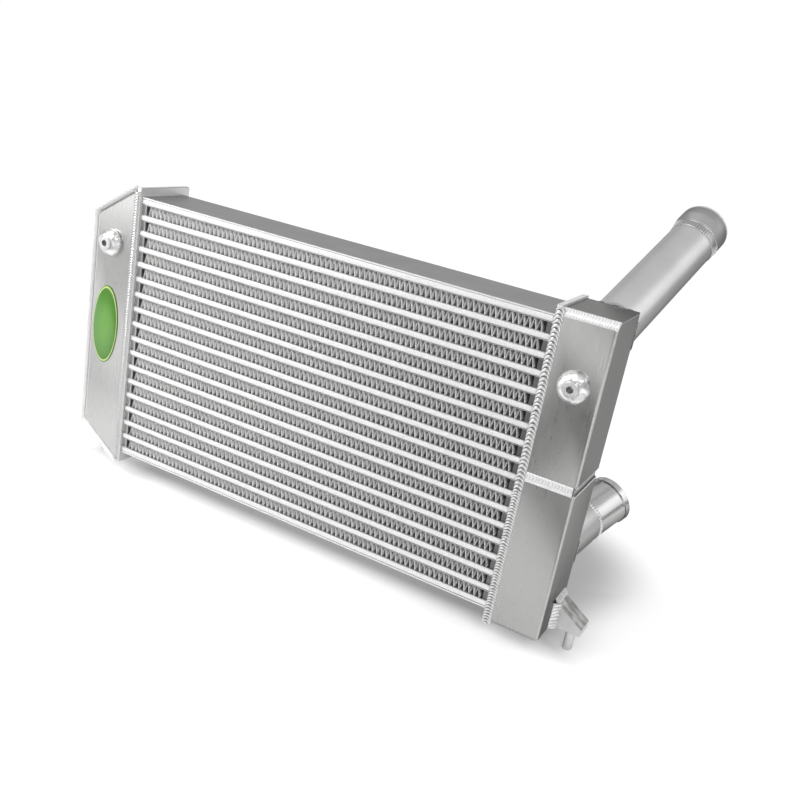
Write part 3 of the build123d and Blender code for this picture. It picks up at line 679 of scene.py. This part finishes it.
def leftEdgeWeld():
    low, high = corners("left_tank_bead")
    size = {"leg": high.y - low.y, "fold": 6 * mm, "foldSteps": 8, "step": 0.6 * mm, "lap": 0.25 * mm,
            "rise": 0.29, "rippling": 0.15}
    look = {"pitch": 5.0 * mm, "depth": 0.05 * mm, "sweep": 1.0 * mm, "lumps": 0.3 * mm, "seed": 2.0}
    outline = [Vector((high.x, 0, high.z)), Vector((low.x, 0, high.z - leftTank["slant"])),
               Vector((low.x, 0, low.z + leftTank["slant"])), Vector((high.x, 0, low.z))]
    path = [outline[0]]
    for before, corner, after in zip(outline, outline[1:], outline[2:]):
        inward, outward = (before - corner).normalized(), (after - corner).normalized()
        half = inward.angle(outward) / 2
        reach = size["fold"] / tan(half)
        for step in range(size["foldSteps"] + 1):
            share = step / size["foldSteps"]
            first = corner + inward * reach * (1 - share)
            second = corner + outward * reach * share
            path.append(first.lerp(second, share))
    path.append(outline[-1])
    fine = [path[0]]
    for start, end in zip(path, path[1:]):
        count = max(1, round((end - start).length / size["step"]))
        fine += [start.lerp(end, (index + 1) / count) for index in range(count)]
    stations = []
    for index, place in enumerate(fine):
        tangent = (fine[min(index + 1, len(fine) - 1)] - fine[max(index - 1, 0)]).normalized()
        outside = ahead.cross(tangent)
        inside = -outside
        toeFront = place + Vector((0, low.y - size["lap"], 0)) + inside * (size["leg"] + size["lap"] * 3)
        toeSide = place + Vector((0, high.y, 0))
        stations.append(((toeFront + toeSide) / 2, (toeSide - toeFront).normalized(),
                         (ahead + outside).normalized()))
    mesh = sweptBead(stations, size["leg"] * 2 ** 0.5, size["leg"] * size["rise"],
                     rippling=size["rippling"])
    rippled("leftEdgeWeld", [mesh], look, edgeWeldMetal, "left_tank_bead")


leftEdgeWeld()


def bossWeld(node, name, seed):
    low, high = corners(node)
    size = {"toe": 6.2 * mm, "crest": 0.8 * mm, "bulge": 3.8 * mm, "steps": 160, "arcSteps": 14}
    swells = {"least": 0.8, "lobe": 0.22, "lobeRate": 1.5, "lobeStart": 0.6, "dent": 0.18, "dentRate": 3}
    look = {"pitch": 14.0 * mm, "depth": 0.3 * mm, "sweep": 2.5 * mm, "lumps": 1.6 * mm, "seed": seed}
    middle = (low + high) / 2
    outer, top = (high.x - low.x) / 2, low.y - size["crest"]
    foot = Vector((outer, high.y))
    crest = Vector((size["toe"], top))
    chord = crest - foot
    stations = []
    for index in range(size["steps"]):
        angle = 2 * pi * index / size["steps"]
        spoke = rightward * cos(angle) + upward * sin(angle)
        start = middle + spoke * foot.x
        start.y = foot.y
        end = middle + spoke * crest.x
        end.y = crest.y
        side = (end - start).normalized()
        up = (spoke * -chord.y + ahead * -chord.x).normalized()
        lobe = swells["lobe"] * abs(sin(angle * swells["lobeRate"] + swells["lobeStart"]))
        dent = swells["dent"] * max(0, sin(angle * swells["dentRate"] + seed))
        swell = swells["least"] + lobe - dent
        stations.append(((start + end) / 2, side, up * swell))
    mesh = sweptBead(stations, chord.length, size["bulge"], closed=True, arcSteps=size["arcSteps"])
    rippled(name, [mesh], look, bossWeldMetal, node)


bossWeld("left_boss_bead", "leftBossWeld", 1.0)
bossWeld("right_boss_bead", "rightBossWeld", 7.0)


def rootWeld(beadNode, axis, centre, name, seed):
    low, high = corners(beadNode)
    size = {"leg": high.y - low.y, "rise": 0.7 * mm, "steps": 260}
    look = {"pitch": 3.6 * mm, "depth": 0.5 * mm, "sweep": 1.2 * mm, "lumps": 0.3 * mm, "seed": seed}
    longSide = Vector((axis.x, 0, axis.z)).normalized()
    shortSide = Vector((0, 1, 0)).cross(longSide)
    longHalf = pipeSizes["radius"] / axis.y
    stations = []
    for index in range(size["steps"]):
        angle = 2 * pi * index / size["steps"]
        spoke = longSide * cos(angle) * longHalf + shortSide * sin(angle) * pipeSizes["radius"]
        out = spoke.normalized()
        place = centre + spoke + out * size["leg"] / 2 + Vector((0, size["leg"] / 2, 0))
        place.x = min(max(place.x, low.x + size["leg"] / 2), high.x - size["leg"] / 3)
        place.z = min(place.z, high.z - size["leg"] / 3)
        side = (out - Vector((0, 1, 0))).normalized()
        stations.append((place, side, (out + Vector((0, 1, 0))).normalized()))
    mesh = sweptBead(stations, size["leg"] * 2 ** 0.5, size["rise"], closed=True)
    rippled(name, [mesh], look, edgeWeldMetal, beadNode)


tankBack = corners("upper_tank")[1].y
upperLine = upperMouth - upwards * pipeSizes["lift"]
upperRoot = upperLine + upperAxis * ((tankBack - upperLine.y) / upperAxis.y)
rootWeld("upper_pipe_bead", upperAxis, upperRoot, "upperRootWeld", 11.0)

lowerRoot = mitre + lowerAxis * ((tankBack - mitre.y) / lowerAxis.y)
rootWeld("lower_pipe_bead", lowerAxis, lowerRoot, "lowerRootWeld", 12.0)


def sleeveWeld():
    # each edge of the ring: its middle along the pipe and its tilt sideways and upwards, in mm
    size = {"low": (-6.7, -2.8, -5.5), "high": (5.3, -3.8, -7.9), "stand": 0.1 * mm, "rise": 0.5 * mm,
            "ridge": 1.8 * mm, "ridgeRise": 0.7 * mm, "steps": 300}
    look = {"pitch": 2.6 * mm, "depth": 0.08 * mm, "sweep": 0.6 * mm, "lumps": 0.15 * mm, "seed": 14.0}
    back = pipeSizes["end"] / 2 + pipeSizes["flare"]
    joint = upperMouth - upperAxis * back - upwards * pipeSizes["lift"]
    rows = {"low": [], "high": [], "band": []}
    for index in range(size["steps"]):
        angle = 2 * pi * index / size["steps"]
        spoke = sideways * cos(angle) + upwards * sin(angle)
        edge = []
        for side in ("low", "high"):
            middle, across, up = size[side]
            reach = (middle + across * cos(angle) + up * sin(angle)) * mm
            share = min(1, max(0, reach / pipeSizes["flare"]))
            radius = pipeSizes["radius"] + (pipeSizes["endRadius"] - pipeSizes["radius"]) * share
            edge.append(joint + upperAxis * reach + upwards * pipeSizes["lift"] * share
                        + spoke * (radius + size["stand"]))
            rows[side].append((edge[-1], upperAxis, spoke))
        rows["band"].append(((edge[0] + edge[1]) / 2, (edge[1] - edge[0]).normalized(), spoke))
    width = (size["high"][0] - size["low"][0]) * mm
    meshes = [sweptBead(rows["band"], width, size["rise"], closed=True)]
    for side in ("low", "high"):
        meshes.append(sweptBead(rows[side], size["ridge"], size["ridgeRise"], closed=True))
    rippled("sleeveWeld", meshes, look, sleeveWeldMetal)


sleeveWeld()


def mitreWeld():
    size = {"width": 5 * mm, "rise": 1.0 * mm, "sink": 0.1 * mm, "steps": 300}
    normal = (lowerAxis + outletAxis).normalized()
    look = {"pitch": 3.0 * mm, "depth": 0.35 * mm, "sweep": 0.8 * mm, "lumps": 0.3 * mm, "seed": 13.0}
    longSide = (outletAxis - lowerAxis).normalized()
    shortSide = normal.cross(longSide)
    longHalf = pipeSizes["radius"] / lowerAxis.dot(normal)
    stations = []
    for index in range(size["steps"]):
        angle = 2 * pi * index / size["steps"]
        spoke = longSide * cos(angle) * longHalf + shortSide * sin(angle) * pipeSizes["radius"]
        stations.append((mitre + spoke - spoke.normalized() * size["sink"], normal, spoke.normalized()))
    mesh = sweptBead(stations, size["width"], size["rise"], closed=True)
    rippled("mitreWeld", [mesh], look, freshWeld, "lower_mitre_bead")


mitreWeld()


bracketWeldLook = {"pitch": 3.8 * mm, "depth": 0.6 * mm, "sweep": 1.2 * mm, "lumps": 0.8 * mm}


def rightBracketWeld():
    low, high = corners("right_bracket_bead")
    bracketLow, bracketHigh = corners("right_bracket")
    size = {"leg": high.x - low.x, "rise": 1.6 * mm, "above": 0.6 * mm, "crossLeg": 4 * mm,
            "crossRise": 0.9 * mm, "crossFront": 3.4 * mm, "slope": 21 / 32}
    bottom = Vector((low.x + size["leg"] / 2, bracketLow.y - size["leg"] / 2, low.z))
    top = Vector((bottom.x, bottom.y, bracketHigh.z + size["above"]))
    run = straightRun(bottom, top, Vector((1, 1, 0)).normalized(), Vector((1, -1, 0)).normalized())
    upright = sweptBead(run, size["leg"] * 2 ** 0.5, size["rise"])
    start = Vector((low.x + size["crossLeg"] / 2, bracketLow.y - size["crossFront"],
                    bracketHigh.z + size["crossLeg"] * (1 - size["slope"]) / 2))
    end = Vector((start.x, bracketHigh.y, start.z))
    chord = Vector((size["crossLeg"], 0, -size["crossLeg"] * (1 + size["slope"])))
    outward = Vector((-chord.z, 0, chord.x)).normalized()
    crossRun = straightRun(start, end, chord.normalized(), outward)
    across = sweptBead(crossRun, chord.length, size["crossRise"])
    rippled("rightBracketWeld", [upright, across], {**bracketWeldLook, "seed": 15.0}, freshWeld,
            "right_bracket_bead")


def leftBracketWeld():
    low, high = corners("left_bracket_bead")
    size = {"leg": high.y - low.y, "length": 9 * mm, "width": 1.2, "rise": 0.6 * mm}
    slopeLine = Vector((-1, 0, leftTank["slant"] / leftTank["width"])).normalized()
    down = Vector((-slopeLine.z, 0, slopeLine.x)).normalized()
    start = Vector((high.x - size["leg"] / 3, high.y - size["leg"] / 2, low.z + size["leg"] / 2))
    end = start + slopeLine * size["length"]
    side = (Vector((0, 1, 0)) + down).normalized()
    run = straightRun(start, end, side, (ahead + down).normalized())
    bead = sweptBead(run, size["leg"] * size["width"], size["rise"])
    rippled("leftBracketWeld", [bead], {**bracketWeldLook, "seed": 16.0}, freshWeld, "left_bracket_bead")


rightBracketWeld()
leftBracketWeld()
print("welds made")


def ovalBadge():
    low, high = corners("badge")
    size = {"rings": 22, "spokes": 96, "edge": 0.55 * mm, "fall": 5, "fullness": 0.6, "smooth": 50}
    middle = (low + high) / 2
    halfWidth, halfHeight = (high.x - low.x) / 2, (high.z - low.z) / 2
    back, full = high.y, high.y - low.y
    work = bmesh.new()
    ring = work.verts.layers.float.new("ring")
    profile = []
    for step in range(1, size["rings"] + 1):
        share = step / size["rings"]
        dome = (1 - share ** size["fall"]) ** size["fullness"]
        profile.append((share, size["edge"] + (full - size["edge"]) * dome))
    profile.append((1.0, 0.0))
    centre = work.verts.new((middle.x, back - full, middle.z))
    rows = []
    for share, height in profile:
        row = []
        for spoke in range(size["spokes"]):
            angle = 2 * pi * spoke / size["spokes"]
            vertex = work.verts.new((middle.x + cos(angle) * halfWidth * share, back - height,
                                     middle.z + sin(angle) * halfHeight * share))
            vertex[ring] = share
            row.append(vertex)
        rows.append(row)
    for spoke in range(size["spokes"]):
        after = (spoke + 1) % size["spokes"]
        work.faces.new((centre, rows[0][spoke], rows[0][after]))
        for first, second in zip(rows, rows[1:]):
            work.faces.new((first[spoke], second[spoke], second[after], first[after]))
    work.faces.new(rows[-1])
    bmesh.ops.recalc_face_normals(work, faces=work.faces)
    mesh = bpy.data.meshes.new("ovalBadge")
    work.to_mesh(mesh)
    work.free()
    mesh.shade_smooth()
    mesh.set_sharp_from_angle(angle=radians(size["smooth"]))
    piece = newPiece("ovalBadge", mesh, enamel)
    settle(piece, "badge", "badge")


ovalBadge()
print("badge made")


# Studio
studio = {"floor": cadBox[0][2] - 0.2 * mm, "lens": 42.106, "sensor": 36, "roll": 10.628,
          "camera": (0.78835, -0.84847, 0.50565), "aim": (0.42141, -0.0485, 0.20256)}


def addCamera():
    data = bpy.data.cameras.new("camera")
    data.lens = studio["lens"]
    data.sensor_width = studio["sensor"]
    camera = bpy.data.objects.new("camera", data)
    bpy.context.collection.objects.link(camera)
    camera.location = studio["camera"]
    view = Vector(studio["aim"]) - Vector(studio["camera"])
    camera.rotation_mode = "QUATERNION"
    turn = Quaternion((0, 0, 1), radians(studio["roll"]))
    camera.rotation_quaternion = view.to_track_quat("-Z", "Y") @ turn
    bpy.context.scene.camera = camera


def addLamp(name, place, target, size, power):
    data = bpy.data.lights.new(name, "AREA")
    data.shape = "DISK"
    data.size = size
    data.energy = power
    lamp = bpy.data.objects.new(name, data)
    bpy.context.collection.objects.link(lamp)
    lamp.location = place
    lamp.rotation_euler = (Vector(target) - Vector(place)).to_track_quat("-Z", "Y").to_euler()


def shownRays(finish):
    rays = finish.tree.nodes.new("ShaderNodeLightPath").outputs
    seen, mirrored, through = (Wire(finish, rays[name]) for name in
                               ("Is Camera Ray", "Is Glossy Ray", "Is Transmission Ray"))
    return seen.maths("MAXIMUM", mirrored).maths("MAXIMUM", through)


def stagePlane(name, corners, material):
    mesh = bpy.data.meshes.new(name)
    mesh.from_pydata(corners, [], [tuple(range(len(corners)))])
    mesh.materials.append(material)
    plane = bpy.data.objects.new(name, mesh)
    bpy.context.collection.objects.link(plane)


def addFloor():
    # the floor shines white in the picture by a painted glow that camera and mirror rays see, apart from a
    # round patch behind the right tank and a strip under the core, where the glow is held back and the
    # lamps' shadow of the object shows with painted soft edges; under the right corner the glow is dimmed
    # a little, a painted shade
    look = {"half": 5.0, "lit": (0.6, 0.6, 0.6), "dim": (0.05, 0.05, 0.05), "front": -0.3,
            "middle": (0.3, 0.0, 0.0), "near": 0.4, "far": 0.85, "glow": 0.55,
            "shade": (0.52, 0.17, 0.0), "shadeStart": 0.08, "shadeEnd": 0.18,
            "coreX": 0.31, "coreStart": 0.27, "coreEnd": 0.36, "coreY": 0.06, "coreScale": 8,
            "corner": (0.56, -0.04, 0.0), "cornerStart": 0.03, "cornerEnd": 0.19, "cornerShade": 0.2}
    finish = Finish("paleFloor", Roughness=0.9, Emission_Strength=1.0)
    depth = finish.along("Y")
    behind = depth > look["front"]
    spread = finish.smooth(finish.distance(look["middle"]), look["near"], look["far"])
    clear = finish.smooth(finish.distance(look["shade"]), look["shadeStart"], look["shadeEnd"])
    beside = finish.smooth(abs(finish.along("X") - look["coreX"]), look["coreStart"], look["coreEnd"])
    before = finish.ramp(abs(depth - look["coreY"]) * look["coreScale"],
                         (0.5, 0.25), (0.62, 0.68), (0.75, 0.92), (0.96, 1))
    # painted shade: the glow is dimmed by up to a fifth around the right corner
    soft = finish.smooth(finish.distance(look["corner"]), look["cornerStart"], look["cornerEnd"])
    glow = (shownRays(finish) * clear * beside.maths("MAXIMUM", before)
            * (soft * look["cornerShade"] + (1 - look["cornerShade"]))
            * (spread * (1 - look["glow"]) + look["glow"]))
    finish.set(Emission_Color=finish.mix(glow, (0, 0, 0), (1, 1, 1)),
               Base_Color=finish.mix(spread * behind, look["lit"], look["dim"]))
    half, level = look["half"], studio["floor"]
    stagePlane("floor", [(-half, -half, level), (half, -half, level), (half, half, level),
                         (-half, half, level)], finish.material)


def addBackdrop():
    look = {"distance": 4.4, "half": 3.4, "height": 2.2}
    finish = Finish("paleBackdrop", Base_Color=(0, 0, 0), Roughness=1.0, Emission_Strength=1.0)
    finish.set(Emission_Color=finish.mix(shownRays(finish), (0, 0, 0), (1, 1, 1)))
    view = Vector(studio["aim"]) - Vector(studio["camera"])
    view = Vector((view.x, view.y, 0)).normalized()
    across = Vector((view.y, -view.x, 0)) * look["half"]
    foot = Vector((studio["aim"][0], studio["aim"][1], studio["floor"])) + view * look["distance"]
    top = Vector((0, 0, look["height"]))
    stagePlane("backdrop", [foot - across, foot + across, foot + across + top, foot - across + top],
               finish.material)


def addMat():  # in front of the picture's lower edge, for the tank's front to reflect
    look = {"corners": ((0.74, -0.225), (0.30, -0.565), (-1.2, -0.64), (-1.2, -1.1), (0.1, -0.98),
                        (0.85, -0.95)), "rise": 2 * mm, "dark": (0.03, 0.03, 0.03), "darkX": 0.3,
            "pale": (0.32, 0.32, 0.32), "paleX": -0.5}
    finish = Finish("darkMat", Roughness=0.9)
    paler = finish.node("ShaderNodeMapRange", {}, {"Value": finish.along("X"), "From Min": look["darkX"],
                                                   "From Max": look["paleX"]})
    finish.set(Base_Color=finish.mix(paler, look["dark"], look["pale"]))
    level = studio["floor"] + look["rise"]
    stagePlane("mat", [(x, y, level) for x, y in look["corners"]], finish.material)


def addWorld():
    world = bpy.data.worlds.new("studio")
    bpy.context.scene.world = world
    world.use_nodes = True
    look = {"horizon": (0.22, 0.22, 0.22), "horizonTo": 0.2,
            "zenith": (0.64, 0.64, 0.64), "zenithFrom": 0.8}
    graph = Graph(world.node_tree)
    direction = graph.node("ShaderNodeTexCoord", out="Object")
    height = graph.node("ShaderNodeSeparateXYZ", {}, {0: direction}, out="Z")
    climb = graph.smooth(height, look["horizonTo"], look["zenithFrom"])
    sky = graph.node("ShaderNodeMix", {"data_type": "RGBA"},
                     {0: climb, 6: look["horizon"], 7: look["zenith"]}, out=2)
    graph.feed(graph.tree.nodes["Background"].inputs["Color"], sky)


lamps = {"key": {"place": (-0.9, -1.4, 1.6), "target": (0.3, -0.1, 0.1), "size": 1.8, "power": 37},
         "leftFill": {"place": (-0.4, -0.5, 0.5), "target": (-0.1, -0.2, 0.0), "size": 0.4, "power": 2},
         "frontFill": {"place": (1.35, -1.1, 1.2), "target": (0.4, -0.05, 0.15), "size": 0.6, "power": 9},
         "sideBox": {"place": (2.09, 0.75, 1.08), "target": (0.6, 0.1, 0.25), "size": 1.5, "power": 6}}
addCamera()
for name, lamp in lamps.items():
    addLamp(name, **lamp)
addFloor()
addBackdrop()
addMat()
addWorld()
bpy.context.scene.view_settings.view_transform = "Standard"
print("studio set")
